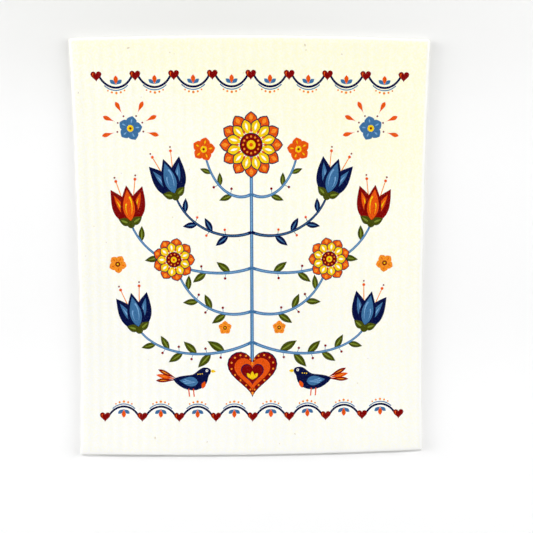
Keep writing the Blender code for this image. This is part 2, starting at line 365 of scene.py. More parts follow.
@dataclass(frozen=True)
class Outline:
    """A closed outline on the flat sheet."""

    points: tuple[Vector, ...]

    @classmethod
    def petal(cls, length: float, width: float, widest: float = 0.6, steps: int = 10) -> "Outline":
        """Draw a petal that stands on the origin along +Y.

        Args:
            length: from its foot to its tip.
            width: across, where it is widest.
            widest: at what part of its length that is.
            steps: the number of straight pieces in each side.

        Returns:
            The petal.
        """
        sharpness = math.log(0.5) / math.log(widest)
        shares = [index / steps for index in range(1, steps)]
        right = [Vector((width / 2 * math.sin(math.pi * s**sharpness), length * s)) for s in shares]
        left = [Vector((-point.x, point.y)) for point in reversed(right)]
        return cls((Vector((0, 0)), *right, Vector((0, length)), *left))

    @classmethod
    def dot(cls, radius: float, steps: int = 12) -> "Outline":
        """A round dot about the origin."""
        turns = [math.tau * index / steps for index in range(steps)]
        return cls(tuple(Vector((radius * math.cos(a), radius * math.sin(a))) for a in turns))

    @classmethod
    def blot(cls, radius: float, turn: float) -> "Outline":
        """Draw a long uneven speck about the origin.

        Args:
            radius: how far it reaches at most.
            turn: how far its long way is turned, in degrees.

        Returns:
            The speck.
        """
        reaches = (1.0, 0.62, 0.5, 0.7, 0.95, 0.58, 0.44, 0.66)
        turns = [math.tau * index / len(reaches) for index in range(len(reaches))]
        points = tuple(radius * r * Vector((math.cos(a), math.sin(a))) for r, a in zip(reaches, turns))
        return cls(points).placed((0, 0), turn)

    @classmethod
    def heart(cls, width: float, steps: int = 36) -> "Outline":
        """Draw a heart about the origin, point down, by the usual heart curve, which is 32 wide.

        Args:
            width: how wide the heart is.
            steps: the number of its points.

        Returns:
            The heart.
        """
        curve_width, curve_middle = 32, 2.5
        points = []
        for index in range(steps):
            a = math.tau * index / steps
            across = 16 * math.sin(a) ** 3
            up = 13 * math.cos(a) - 5 * math.cos(2 * a) - 2 * math.cos(3 * a) - math.cos(4 * a)
            points.append(Vector((across, up + curve_middle)) * width / curve_width)
        return cls(tuple(points))

    @classmethod
    def stroke(cls, line: Sequence[Vector], first: float, last: float) -> "Outline":
        """Draw a brush stroke along a line.

        Args:
            line: the points along its middle.
            first: its width at the start.
            last: its width at the end.

        Returns:
            The stroke.
        """
        left, right = [], []
        for index, point in enumerate(line):
            before, after = line[max(index - 1, 0)], line[min(index + 1, len(line) - 1)]
            ahead = (after - before).normalized()
            half = (first + (last - first) * index / (len(line) - 1)) / 2
            side = Vector((-ahead.y, ahead.x)) * half
            left.append(point + side)
            right.append(point - side)
        return cls((*left, *reversed(right)))

    @classmethod
    def comma(cls, length: float, width: float, bow: float) -> "Outline":
        """Draw a comma stroke from the origin along +Y: a thin tail that ends in a round head.

        Args:
            length: from the tail's tip to the middle of the head.
            width: the head's width.
            bow: how far the tail's curve is drawn sideways.

        Returns:
            The stroke.
        """
        line = bend(((0, 0), (bow, length * 0.4), (bow, length * 0.8), (0, length)), 12)
        tail = cls.stroke(line, width * 0.12, width).points
        middle, half = len(tail) // 2, width / 2
        ahead = (line[-1] - line[-2]).normalized()
        side = Vector((-ahead.y, ahead.x))
        arc = [math.pi * step / 6 for step in range(1, 6)]
        head = [line[-1] + half * (side * math.cos(a) + ahead * math.sin(a)) for a in arc]
        return cls((*tail[:middle], *head, *tail[middle:]))

    def holds(self, places: numpy.ndarray) -> numpy.ndarray:
        """Find the places that lie inside the outline.

        Args:
            places: the places, one to a row.

        Returns:
            The numbers of the rows that lie inside.
        """
        corners = numpy.array([tuple(point) for point in self.points])
        low, high = corners.min(axis=0), corners.max(axis=0)
        near = numpy.flatnonzero(((places > low) & (places < high)).all(axis=1))
        x, y = places[near].T
        inside = numpy.zeros(len(near), dtype=bool)
        for (ax, ay), (bx, by) in zip(corners, numpy.roll(corners, -1, axis=0)):
            if ay != by:
                inside ^= ((ay > y) != (by > y)) & (x < (bx - ax) * (y - ay) / (by - ay) + ax)
        return near[inside]

    def placed(self, at: Place, turn: float = 0.0, size: float = 1.0) -> "Outline":
        """Move the outline.

        Args:
            at: where its origin goes.
            turn: how far it is turned about it, in degrees.
            size: how many times as large it is made.

        Returns:
            The moved outline.
        """
        c, s = size * math.cos(math.radians(turn)), size * math.sin(math.radians(turn))
        moved = (Vector((at[0] + p.x * c - p.y * s, at[1] + p.x * s + p.y * c)) for p in self.points)
        return Outline(tuple(moved))

    def mirrored(self) -> "Outline":
        """The outline seen in a mirror that stands on the sheet's long middle line."""
        return Outline(tuple(Vector((-p.x, p.y)) for p in self.points))


@dataclass(frozen=True)
class Motif:
    """Fields of ink, each an ink and an outline; a later field lies over an earlier one."""

    fields: tuple[tuple[Ink, Outline], ...] = ()

    @classmethod
    def of(cls, *fields: tuple[Ink, Outline]) -> "Motif":
        """A motif of these fields."""
        return cls(fields)

    @classmethod
    def read(cls, mesh: bpy.types.Mesh) -> "Motif":
        """Take the fields from a flat mesh, one from each face.

        Args:
            mesh: the mesh; it is removed afterwards.

        Returns:
            The motif.
        """
        inks = list(Ink)
        numbers = mesh.attributes[INK].data
        points = [vertex.co.to_2d() for vertex in mesh.vertices]
        fields = tuple(
            (inks[numbers[face.index].value], Outline(tuple(points[index] for index in face.vertices)))
            for face in mesh.polygons
        )
        bpy.data.meshes.remove(mesh)
        return cls(fields)

    def drawn(self) -> bpy.types.Mesh:
        """Draw the motif as a flat mesh.

        Returns:
            The mesh, with one face for each field, and the inks' numbers in an attribute.
        """
        places, faces = [], []
        for _, outline in self.fields:
            faces.append(range(len(places), len(places) + len(outline.points)))
            places += [point.to_3d() for point in outline.points]
        mesh = bpy.data.meshes.new("motif")
        mesh.from_pydata(places, [], faces)
        numbers = mesh.attributes.new(INK, "INT", "FACE")
        numbers.data.foreach_set("value", [ink.number for ink, _ in self.fields])
        return mesh

    def __add__(self, other: "Motif") -> "Motif":
        """This motif with another one over it."""
        return Motif(self.fields + other.fields)

    def placed(self, at: Place, turn: float = 0.0, size: float = 1.0) -> "Motif":
        """The motif made size times as large, turned by turn degrees and moved to at."""
        return Motif(tuple((ink, outline.placed(at, turn, size)) for ink, outline in self.fields))

    def fanned(self, *leans: float) -> "Motif":
        """The motif once for each lean, turned by that many degrees about the origin."""
        return sum((self.placed((0, 0), lean) for lean in leans), Motif())

    def mirrored(self) -> "Motif":
        """The motif seen in a mirror that stands on the sheet's long middle line."""
        return Motif(tuple((ink, outline.mirrored()) for ink, outline in self.fields))


class Repeat(Recipe):
    """A recipe that stands a motif at points, each turned and sized in its own way."""

    def __init__(self, name: str, material: bpy.types.Material) -> None:
        """Start the tree.

        Args:
            name: the tree's name.
            material: what it dresses the repeats in.
        """
        super().__init__(name)
        self.material = material
        self.count = self.take("Count", "Int")
        self.index = self.node("GeometryNodeInputIndex")

    def stand(self, at: Wire, angle: Value, size: Value = 1.0) -> None:
        """Stand the motif at each point and close the tree.

        Args:
            at: the place of each point.
            angle: how far the motif is turned there, in radians.
            size: how many times as large it is there.
        """
        points = self.node("GeometryNodePoints", inputs={"Count": self.count, "Position": at})
        turned = self.node("FunctionNodeEulerToRotation", inputs=(self.join(0.0, 0.0, angle),))
        scale = self.join(size, size, size)
        inputs = {"Points": points, "Instance": self.shape, "Rotation": turned, "Scale": scale}
        self.close(self.node("GeometryNodeInstanceOnPoints", inputs=inputs))

    def of(self, motif: Motif, **values: Value) -> Motif:
        """The motif repeated, with the tree's inputs given by name."""
        return Motif.read(self.run(motif.drawn(), self.material, **values))


class RingRepeat(Repeat):
    """Stands a motif round the origin, each a step further round and looking outwards.

    Its inputs are Count, Reach from the origin and Turn of the first, in radians.
    """

    def __init__(self, material: bpy.types.Material) -> None:
        """Build the tree.

        Args:
            material: what it dresses the repeats in.
        """
        super().__init__("ring_repeat", material)
        reach, turn = self.take("Reach"), self.take("Turn")
        angle = turn + self.index * math.tau / self.count
        x, y = reach * self.work("SINE", angle) * -1.0, reach * self.work("COSINE", angle)
        self.stand(self.join(x, y, 0.0), angle)


class RowRepeat(Repeat):
    """Stands a motif in a row along X, with the row's middle on the origin.

    Its inputs are Count and Step.
    """

    def __init__(self, material: bpy.types.Material) -> None:
        """Build the tree.

        Args:
            material: what it dresses the repeats in.
        """
        super().__init__("row_repeat", material)
        x = (self.index - (self.count - 1.0) * 0.5) * self.take("Step")
        self.stand(self.join(x, 0.0, 0.0), 0.0)


class SprayRepeat(Repeat):
    """Stands a motif along a curve, on its two sides in turn, as leaves stand on a stem.

    Its inputs are the curve's four points, Start, Leave, Arrive and End; Count; First and Last, the shares
    of the way where the row begins and ends; Side, 1 or -1, of the first; Lean from the stem, in radians;
    and the sizes of the first and the last, Longest and Shortest.
    """

    def __init__(self, material: bpy.types.Material) -> None:
        """Build the tree.

        Args:
            material: what it dresses the repeats in.
        """
        super().__init__("spray_repeat", material)
        sockets = {"Start": "Start", "Leave": "Start Handle", "Arrive": "End Handle", "End": "End"}
        corners = {socket: self.take(name, "Vector") for name, socket in sockets.items()}
        first, last = self.take("First"), self.take("Last")
        side, lean = self.take("Side"), self.take("Lean")
        longest, shortest = self.take("Longest"), self.take("Shortest")
        inputs = {"Resolution": 48, **corners}
        route = self.node("GeometryNodeCurvePrimitiveBezierSegment", {"mode": "POSITION"}, inputs)
        part = self.index / (self.count - 1.0)
        inputs = {"Curves": route, "Factor": first + (last - first) * part}
        at = self.node("GeometryNodeSampleCurve", {"mode": "FACTOR"}, inputs, "Position")
        ahead_x, ahead_y, _ = self.split(at.other("Tangent"))
        heading = self.work("ARCTAN2", ahead_y, ahead_x) - math.pi / 2
        other_side = 1.0 - 2.0 * self.work("MODULO", self.index, 2.0)
        self.stand(at, heading + lean * side * other_side, longest + (shortest - longest) * part)


@dataclass(frozen=True)
class Press:
    """The three ways in which the print repeats a motif."""

    ring: RingRepeat
    row: RowRepeat
    spray: SprayRepeat


@dataclass(frozen=True)
class Tulip:
    """A tulip: three petals with linings in a green calyx, with two stamens behind them.

    Like every motif with a size or a radius, it is drawn in shares of it and then made that large.
    """

    size: float
    cup: Ink = Ink.NAVY
    lining: Ink = Ink.BLUE
    light: Ink = Ink.SKY
    stamen_lean: float = 12.5
    stamen: Motif = Motif.of(
        (Ink.AMBER, Outline.stroke([Vector((0, 0.5)), Vector((0, 1.12))], 0.03, 0.02)),
        (Ink.ORANGE, Outline.dot(0.038, 10).placed((0, 1.13))),
        (Ink.CRIMSON, Outline.dot(0.024, 8).placed((0, 1.225))),
    )
    side_lean: float = 24.0
    side_cup: Outline = Outline.petal(1.0, 0.46, 0.42, 14)
    side_lining: Outline = Outline.petal(0.64, 0.15, 0.45).placed((0, 0.2))
    side_light: Outline = Outline.petal(0.4, 0.035, 0.5).placed((0.012, 0.3))
    middle_cup: Outline = Outline.petal(0.98, 0.44, 0.4, 14)
    middle_lining: Outline = Outline.petal(0.78, 0.3, 0.42, 12).placed((0, 0.09))
    long_light: Outline = Outline.comma(0.42, 0.045, -0.05).placed((-0.045, 0.25))
    short_light: Outline = Outline.comma(0.26, 0.035, 0.03).placed((0.06, 0.25))
    calyx_lean: float = 62.0
    calyx_leaf: Motif = Motif.of(
        (Ink.GREEN, Outline.petal(0.34, 0.2, 0.45)),
        (Ink.MOSS, Outline.petal(0.22, 0.05, 0.5).placed((0, 0.06))),
    )
    calyx_foot: Motif = Motif.of((Ink.GREEN, Outline.dot(0.1)))

    def draw(self, at: Place, turn: float) -> Motif:
        """Draw the tulip.

        Args:
            at: where its stem ends.
            turn: how far it is turned, in degrees.

        Returns:
            The tulip.
        """
        side = Motif.of(
            (self.cup, self.side_cup),
            (self.lining, self.side_lining),
            (self.light, self.side_light),
        )
        middle = Motif.of(
            (self.cup, self.middle_cup),
            (self.lining, self.middle_lining),
            (self.light, self.long_light),
            (self.light, self.short_light),
        )
        parts = self.stamen.fanned(self.stamen_lean, -self.stamen_lean)
        parts += side.fanned(self.side_lean, -self.side_lean) + middle
        parts += self.calyx_leaf.fanned(self.calyx_lean, -self.calyx_lean) + self.calyx_foot
        return parts.placed(at, turn, self.size)


@dataclass(frozen=True)
class Rosette:
    """A daisy: two rings of outlined petals round a crimson eye with a ring of beads.

    A ring's reach is how far from the middle its petals stand, and its spread is the sum of their widths.
    """

    radius: float
    petals: int
    outer_reach: float = 0.3
    outer_spread: float = 4.9
    inner_reach: float = 0.22
    inner_spread: float = 3.9
    bead_reach: float = 0.25
    bead: Motif = Motif.of((Ink.AMBER, Outline.dot(0.034, 8)))
    eye: Motif = Motif.of((Ink.NAVY, Outline.dot(0.36, 28)), (Ink.CRIMSON, Outline.dot(0.335, 28)))
    heart: Motif = Motif.of((Ink.YELLOW, Outline.dot(0.14, 14)), (Ink.ORANGE, Outline.dot(0.06, 8)))

    def draw(self, press: Press, at: Place, turn: float) -> Motif:
        """Draw the rosette.

        Args:
            press: what repeats its petals.
            at: its middle.
            turn: how far its first petal is turned, in degrees.

        Returns:
            The rosette.
        """
        step, first = math.tau / self.petals, math.radians(turn)
        outer, inner, beads = (
            press.ring.of(motif, count=self.petals, reach=reach, turn=start)
            for motif, reach, start in (
                (self.outer_petal(), self.outer_reach, first),
                (self.inner_petal(), self.inner_reach, first + step / 2),
                (self.bead, self.bead_reach, first),
            )
        )
        return (outer + inner + self.eye + beads + self.heart).placed(at, 0, self.radius)

    def outer_petal(self) -> Motif:
        """An orange petal with a navy outline and a light tip."""
        width = self.outer_spread / self.petals
        return Motif.of(
            (Ink.NAVY, Outline.petal(0.7, width, 0.68)),
            (Ink.ORANGE, Outline.petal(0.665, width * 0.87, 0.68)),
            (Ink.AMBER, Outline.petal(0.2, width * 0.3, 0.5, 6).placed((0, 0.42))),
        )

    def inner_petal(self) -> Motif:
        """A yellow petal with a navy outline and a bare stroke."""
        width = self.inner_spread / self.petals
        return Motif.of(
            (Ink.NAVY, Outline.petal(0.58, width, 0.66)),
            (Ink.YELLOW, Outline.petal(0.545, width * 0.84, 0.66)),
            (Ink.BARE, Outline.petal(0.24, width * 0.22, 0.5, 6).placed((0.0, 0.22))),
        )


@dataclass(frozen=True)
class Blossom:
    """A small flower of five round petals, each with a stroke, round an eye."""

    radius: float
    ink: Ink
    stroke_ink: Ink
    eye_ink: Ink
    dot_ink: Ink
    petals: int = 5
    petal: Outline = Outline.petal(1.0, 0.86, 0.62)
    stroke: Outline = Outline.petal(0.36, 0.12, 0.6, 6).placed((0, 0.4))
    eye: Outline = Outline.dot(0.28, 12)
    dot: Outline = Outline.dot(0.11, 8)

    def draw(self, press: Press, at: Place, turn: float) -> Motif:
        """Draw the flower.

        Args:
            press: what repeats its petals.
            at: its middle.
            turn: how far its first petal is turned, in degrees.

        Returns:
            The flower.
        """
        petal = Motif.of((self.ink, self.petal), (self.stroke_ink, self.stroke))
        ring = press.ring.of(petal, count=self.petals, reach=0.0, turn=math.radians(turn))
        eye = Motif.of((self.eye_ink, self.eye), (self.dot_ink, self.dot))
        return (ring + eye).placed(at, 0, self.radius)


@dataclass(frozen=True)
class Leaves:
    """The leaves on a branch.

    They are given by their number, the shares of the way where the first and the last stand, the side of
    the first, and the lengths of the first and the last.
    """

    count: int
    first: float
    last: float
    side: int
    longest: float
    shortest: float


@dataclass(frozen=True)
class Branch:
    """A stem along a curve, with leaves and berries on its two sides.

    past is how much further on a berry stands than its leaf, as a share of the way along the stem.
    """

    route: Route
    leaves: Leaves
    ink: Ink = Ink.BLUE
    core_ink: Ink = Ink.SKY
    leaf_ink: Ink = Ink.GREEN
    vein_ink: Ink = Ink.MOSS
    berry_ink: Ink = Ink.CRIMSON
    width: float = 1.5
    tip: float = 1.0
    core_width: float = 0.45
    core_tip: float = 0.25
    lean: float = 42.0
    leaf: Outline = Outline.petal(1.0, 0.4, 0.45, 9)
    vein: Outline = Outline.petal(0.66, 0.088, 0.45, 7).placed((0, 0.12))
    berry_lean: float = 74.0
    berry_length: float = 3.0
    past: float = 0.03
    stalk: Outline = Outline.stroke([Vector((0, 0)), Vector((0, 0.8))], 0.1, 0.08)
    berry: Outline = Outline.dot(0.21, 10).placed((0, 0.9))

    def draw(self, press: Press) -> Motif:
        """Draw the branch in its place.

        Args:
            press: what repeats its leaves and berries.

        Returns:
            The branch.
        """
        line = bend(self.route)
        core = Outline.stroke(line[1:-1], self.core_width, self.core_tip)
        stem = Motif.of((self.ink, Outline.stroke(line, self.width, self.tip)), (self.core_ink, core))
        return self.berries(press) + self.foliage(press) + stem

    def along(self, press: Press, motif: Motif, lean: float, **values: Value) -> Motif:
        """A motif that stands along the branch, leaning from it by lean degrees."""
        corners = dict(zip(("start", "leave", "arrive", "end"), ((*place, 0.0) for place in self.route)))
        return press.spray.of(motif, lean=math.radians(lean), **corners, **values)

    def foliage(self, press: Press) -> Motif:
        """The leaves, each with a light vein."""
        leaf = Motif.of((self.leaf_ink, self.leaf), (self.vein_ink, self.vein))
        return self.along(press, leaf, self.lean, **vars(self.leaves))

    def berries(self, press: Press) -> Motif:
        """Draw a berry on a short stalk over against each leaf but the last.

        Args:
            press: what repeats them.

        Returns:
            The berries.
        """
        leaves = self.leaves
        return self.along(
            press,
            Motif.of((self.ink, self.stalk), (self.berry_ink, self.berry)),
            self.berry_lean,
            count=leaves.count - 1,
            first=leaves.first + self.past,
            last=leaves.last - (leaves.last - leaves.first) / (leaves.count - 1) + self.past,
            side=-leaves.side,
            longest=self.berry_length,
            shortest=self.berry_length,
        )


@dataclass(frozen=True)
class Bird:
    """A small bird that looks towards -X, with a fanned tail, a folded wing and two legs.

    The tail's feathers are given by lean and ink, the wing's quills by lean and length, and the beads on
    its neck and the legs by their places across. The patches are its beak, wing, breast and eye.
    """

    size: float = 13.0
    leg: float = 0.6
    legs: tuple[float, ...] = (-0.12, 0.06)
    tail: tuple[tuple[float, Ink], ...] = ((-92, Ink.CRIMSON), (-78, Ink.ORANGE), (-64, Ink.CRIMSON))
    tail_foot: Place = (0.42, 0.04)
    feather: Outline = Outline.petal(0.9, 0.16, 0.7)
    feather_light: Outline = Outline.petal(0.34, 0.035, 0.6, 6).placed((0, 0.42))
    quills: tuple[tuple[float, float], ...] = ((-76, 0.42), (-86, 0.46), (-96, 0.4))
    quill_foot: Place = (-0.2, -0.05)
    beads: tuple[float, ...] = (-0.46, -0.38, -0.3)
    outline: tuple[Route, ...] = (
        ((-0.62, 0.5), (-0.36, 0.56), (-0.26, 0.24), (0.0, 0.22)),
        ((0.0, 0.22), (0.3, 0.2), (0.5, 0.16), (0.66, 0.06)),
        ((0.66, 0.06), (0.4, -0.34), (-0.2, -0.52), (-0.54, -0.2)),
        ((-0.54, -0.2), (-0.74, 0.0), (-0.64, 0.16), (-0.76, 0.26)),
        ((-0.76, 0.26), (-0.86, 0.4), (-0.74, 0.5), (-0.62, 0.5)),
    )
    patches: Motif = Motif.of(
        (Ink.YELLOW, Outline.petal(0.2, 0.12, 0.35, 6).placed((-0.79, 0.37), 96)),
        (Ink.BLUE, Outline.petal(0.72, 0.36, 0.36).placed((-0.3, -0.06), -84)),
        (Ink.ORANGE, Outline.petal(0.3, 0.16, 0.5, 8).placed((-0.56, -0.02), 200)),
        (Ink.BARE, Outline.dot(0.05, 10).placed((-0.64, 0.385))),
        (Ink.NAVY, Outline.dot(0.025, 8).placed((-0.645, 0.385))),
    )

    def draw(self, at: Place) -> Motif:
        """Draw the bird.

        Args:
            at: its middle.

        Returns:
            The bird.
        """
        parts = Motif()
        for lean, ink in self.tail:
            feather = Motif.of((ink, self.feather), (Ink.AMBER, self.feather_light))
            parts += feather.placed(self.tail_foot, lean)
        body = tuple(point for stretch in self.outline for point in bend(stretch, 8)[:-1])
        parts += Motif.of((Ink.NAVY, Outline(body))) + self.patches
        for lean, length in self.quills:
            parts += Motif.of((Ink.SKY, Outline.comma(length, 0.04, 0.02).placed(self.quill_foot, lean)))
        for across in self.beads:
            parts += Motif.of((Ink.YELLOW, Outline.dot(0.024, 8).placed((across, 0.22 - across * 0.1))))
        for across in self.legs:
            leg = [Vector((across, -0.3)), Vector((across - 0.03, -0.6))]
            parts += Motif.of((Ink.ORANGE, Outline.stroke(leg, self.leg / self.size, self.leg / self.size)))
        return parts.placed(at, 0, self.size)


@dataclass(frozen=True)
class Border:
    """A border of double swags between small hearts, with three buds and a row of beads to each swag.

    hooks says where a swag's curve starts, is drawn down by depth and ends, in shares of its width, and
    hang is the share of depth that it reaches. A bud is given by its lean, its length and its ink, and a
    bead by its place across the swag and its radius.
    """

    width: float = 146.0
    swags: int = 8
    depth: float = 7.0
    hang: float = 0.75
    hooks: tuple[float, ...] = (0.08, 0.28, 0.72, 0.92)
    stroke: float = 1.0
    under_gap: float = 1.25
    under_stroke: float = 0.5
    heart: float = 5.2
    bud_hang: float = 0.56
    buds: tuple[tuple[float, float, Ink], ...] = (
        (0, 4.2, Ink.ORANGE),
        (52, 3.6, Ink.BLUE),
        (-52, 3.6, Ink.BLUE),
    )
    bead_gap: float = 2.45
    bead_bow: float = 0.075
    beads: tuple[Place, ...] = ((-3.9, 0.42), (-2.1, 0.52), (0.0, 0.62), (2.1, 0.52), (3.9, 0.42))

    def draw(self, press: Press, height: float, turn: float) -> Motif:
        """Draw the border.

        Args:
            press: what repeats its swags and hearts.
            height: the height of its hearts on the sheet.
            turn: how far its swags are turned, in degrees; its hearts stay upright.

        Returns:
            The border.
        """
        step = self.width / self.swags
        swags = press.row.of(self.swag(step), count=self.swags, step=step)
        hearts = press.row.of(self.hook(), count=self.swags + 1, step=step)
        return swags.placed((0, height), turn) + hearts.placed((0, height))

    def hook(self) -> Motif:
        """The small heart that two swags hang from."""
        light = Outline.comma(self.heart * 0.34, self.heart * 0.12, -0.3).placed((-1.15, -0.5), 8)
        return Motif.of((Ink.CRIMSON, Outline.heart(self.heart, 20)), (Ink.ORANGE, light))

    def swag(self, step: float) -> Motif:
        """Draw one swag with a thin line under it, its buds and its beads.

        Args:
            step: the way from one small heart to the next.

        Returns:
            The swag, between two places on the X axis.
        """
        start, leave, arrive, end = (step * (share - 0.5) for share in self.hooks)
        line = bend(((start, 0), (leave, -self.depth), (arrive, -self.depth), (end, 0)), 18)
        under = [point + Vector((0, -self.under_gap)) for point in line[3:-3]]
        parts = Motif.of(
            (Ink.NAVY, Outline.stroke(line, self.stroke, self.stroke)),
            (Ink.BLUE, Outline.stroke(under, self.under_stroke, self.under_stroke)),
        )
        for across, radius in self.beads:
            drop = -self.depth * self.hang - self.bead_gap + self.bead_bow * across**2
            parts += Motif.of((Ink.AMBER, Outline.dot(radius, 9).placed((across, drop))))
        for lean, length, ink in self.buds:
            bud = Outline.petal(length, length / 2, 0.6, 8).placed((0, -self.depth * self.bud_hang), lean)
            parts += Motif.of((ink, bud))
        return parts


@dataclass(frozen=True)
class Heart:
    """The heart at the foot of the tree: heart inside heart, with a row of beads round the broad one.

    Its rings are given by their widths and inks. Three small petals fan out from sprig.
    """

    rings: tuple[tuple[float, Ink], ...] = (
        (25.0, Ink.NAVY),
        (24.0, Ink.CRIMSON),
        (18.0, Ink.ORANGE),
        (11.5, Ink.NAVY),
        (10.5, Ink.CRIMSON),
    )
    bead_width: float = 21.2
    beads: int = 26
    bead: float = 0.5
    sprig: Place = (0.0, -2.6)
    sprig_leans: tuple[float, ...] = (0.0, 40.0, -40.0)
    sprig_petal: Outline = Outline.petal(4.2, 1.7, 0.62, 8)

    def draw(self, at: Place) -> Motif:
        """Draw the heart.

        Args:
            at: its middle.

        Returns:
            The heart.
        """
        parts = Motif.of(*((ink, Outline.heart(width)) for width, ink in self.rings))
        for point in Outline.heart(self.bead_width, self.beads).points:
            parts += Motif.of((Ink.AMBER, Outline.dot(self.bead, 9).placed(point)))
        for lean in self.sprig_leans:
            parts += Motif.of((Ink.YELLOW, self.sprig_petal.placed(self.sprig, lean)))
        return parts.placed(at)


@dataclass(frozen=True)
class FolkPrint:
    """The whole print: a flowering tree on a heart, with two birds, between two borders.

    What stands aside is given on the right and mirrored to the left. A blossom has its place and its turn
    beside it, and the one at star has rays round it. The branches go from the lowest to the crown, and
    dark holds the inks of one of them. A fleck of husk is given by its place, its size and its turn.
    """

    border_top: float = 82.0
    border_bottom: float = -81.0
    trunk_foot: Place = (0.0, -55.0)
    trunk_width: float = 2.0
    crown: Place = (0.0, 50.0)
    crown_rosette: Rosette = Rosette(15.5, 12)
    side: Place = (38.5, -4.0)
    side_rosette: Rosette = Rosette(10.5, 9)
    side_turn: float = 10.0
    heart_at: Place = (0.0, -60.0)
    bird_at: Place = (31.0, -63.0)
    tulip_size: float = 19.0
    star: Place = (58.0, 58.0)
    blossoms: tuple[tuple[Blossom, Place, float], ...] = (
        (Blossom(5.6, Ink.ORANGE, Ink.YELLOW, Ink.YELLOW, Ink.CRIMSON), (23, 48), 12),
        (Blossom(5.8, Ink.BLUE, Ink.SKY, Ink.YELLOW, Ink.CRIMSON), star, 12),
        (Blossom(4.4, Ink.AMBER, Ink.ORANGE, Ink.CRIMSON, Ink.YELLOW), (66, -6), 30),
        (Blossom(3.4, Ink.AMBER, Ink.ORANGE, Ink.CRIMSON, Ink.YELLOW), (13.5, -37), 0),
    )
    dark: tuple[Ink, ...] = (Ink.NAVY, Ink.BLUE, Ink.NAVY, Ink.BLUE, Ink.ORANGE)
    branches: tuple[tuple[str, Branch], ...] = (
        ("low", Branch(((0, -44), (18, -53), (46, -52), (56, -38)), Leaves(6, 0.24, 0.82, 1, 10.0, 7.5))),
        ("middle", Branch(((0, -29), (15, -34), (31, -26), (37, -9)), Leaves(4, 0.28, 0.76, -1, 8.5, 7.5))),
        ("high", Branch(((0, -8), (16, -14), (50, -10), (59, 13)), Leaves(5, 0.16, 0.86, 1, 8.5, 7.5))),
        ("upper", Branch(((0, 9), (12, 4), (31, 10), (37, 26)), Leaves(4, 0.26, 0.8, -1, 8.0, 7.0), *dark)),
        ("crown", Branch(((0, 27), (7, 23), (18, 28), (22, 44)), Leaves(3, 0.3, 0.76, -1, 7.0, 6.0))),
    )
    ray_turns: tuple[float, ...] = (-104, -66, -28, 28, 66, 104)
    ray: Motif = Motif.of(
        (Ink.ORANGE, Outline.petal(6.5, 2.0, 0.72)),
        (Ink.CRIMSON, Outline.dot(0.45, 8).placed((0, -1.1))),
    ).placed((0, 7.5))
    flecks: tuple[tuple[Place, float, float], ...] = (
        ((-57.3, 94.5), 0.75, 20),
        ((-81.7, 74.7), 0.5, 70),
        ((25.6, 95.5), 0.7, 110),
        ((26.1, 93.3), 0.45, 10),
        ((43.1, 91.7), 0.5, 150),
        ((-48.4, -91.2), 0.7, 95),
        ((-22.7, -93.2), 0.45, 40),
        ((21.1, -89.7), 0.5, 130),
    )

    def half(self, press: Press) -> Motif:
        """Draw everything that stands on the right of the trunk.

        Args:
            press: what repeats the motifs.

        Returns:
            The right half, without the trunk.
        """
        parts = sum((branch.draw(press) for _, branch in self.branches), Motif())
        ends = {name: branch.route[-1] for name, branch in self.branches}
        blue = Tulip(self.tulip_size)
        red = Tulip(self.tulip_size, Ink.CRIMSON, Ink.ORANGE, Ink.YELLOW)
        parts += blue.draw(ends["low"], -12)
        parts += self.side_rosette.draw(press, self.side, self.side_turn)
        parts += red.draw(ends["high"], -6) + blue.draw(ends["upper"], -18)
        for blossom, at, turn in self.blossoms:
            parts += blossom.draw(press, at, turn)
        for turn in self.ray_turns:
            parts += self.ray.placed(self.star, turn)
        return parts + Bird().draw(self.bird_at)

    def trunk(self) -> Motif:
        """Draw the trunk.

        Returns:
            The trunk, with a light line along it.
        """
        line, width = [Vector(self.trunk_foot), Vector(self.crown)], self.trunk_width
        light = Outline.stroke(line, width * 0.28, width * 0.24)
        return Motif.of((Ink.BLUE, Outline.stroke(line, width, width * 0.75)), (Ink.SKY, light))

    def draw(self, press: Press) -> Motif:
        """Draw the print and the flecks of husk in the cloth, in their places on the flat sheet.

        Args:
            press: what repeats the motifs.

        Returns:
            The fields of the print.
        """
        half = self.half(press)
        parts = self.trunk() + half + half.mirrored()
        parts += self.crown_rosette.draw(press, self.crown, 0) + Heart().draw(self.heart_at)
        parts += Border().draw(press, self.border_top, 0) + Border().draw(press, self.border_bottom, 180)
        for at, radius, turn in self.flecks:
            parts += Motif.of((Ink.HUSK, Outline.blot(radius, turn).placed(at)))
        return parts


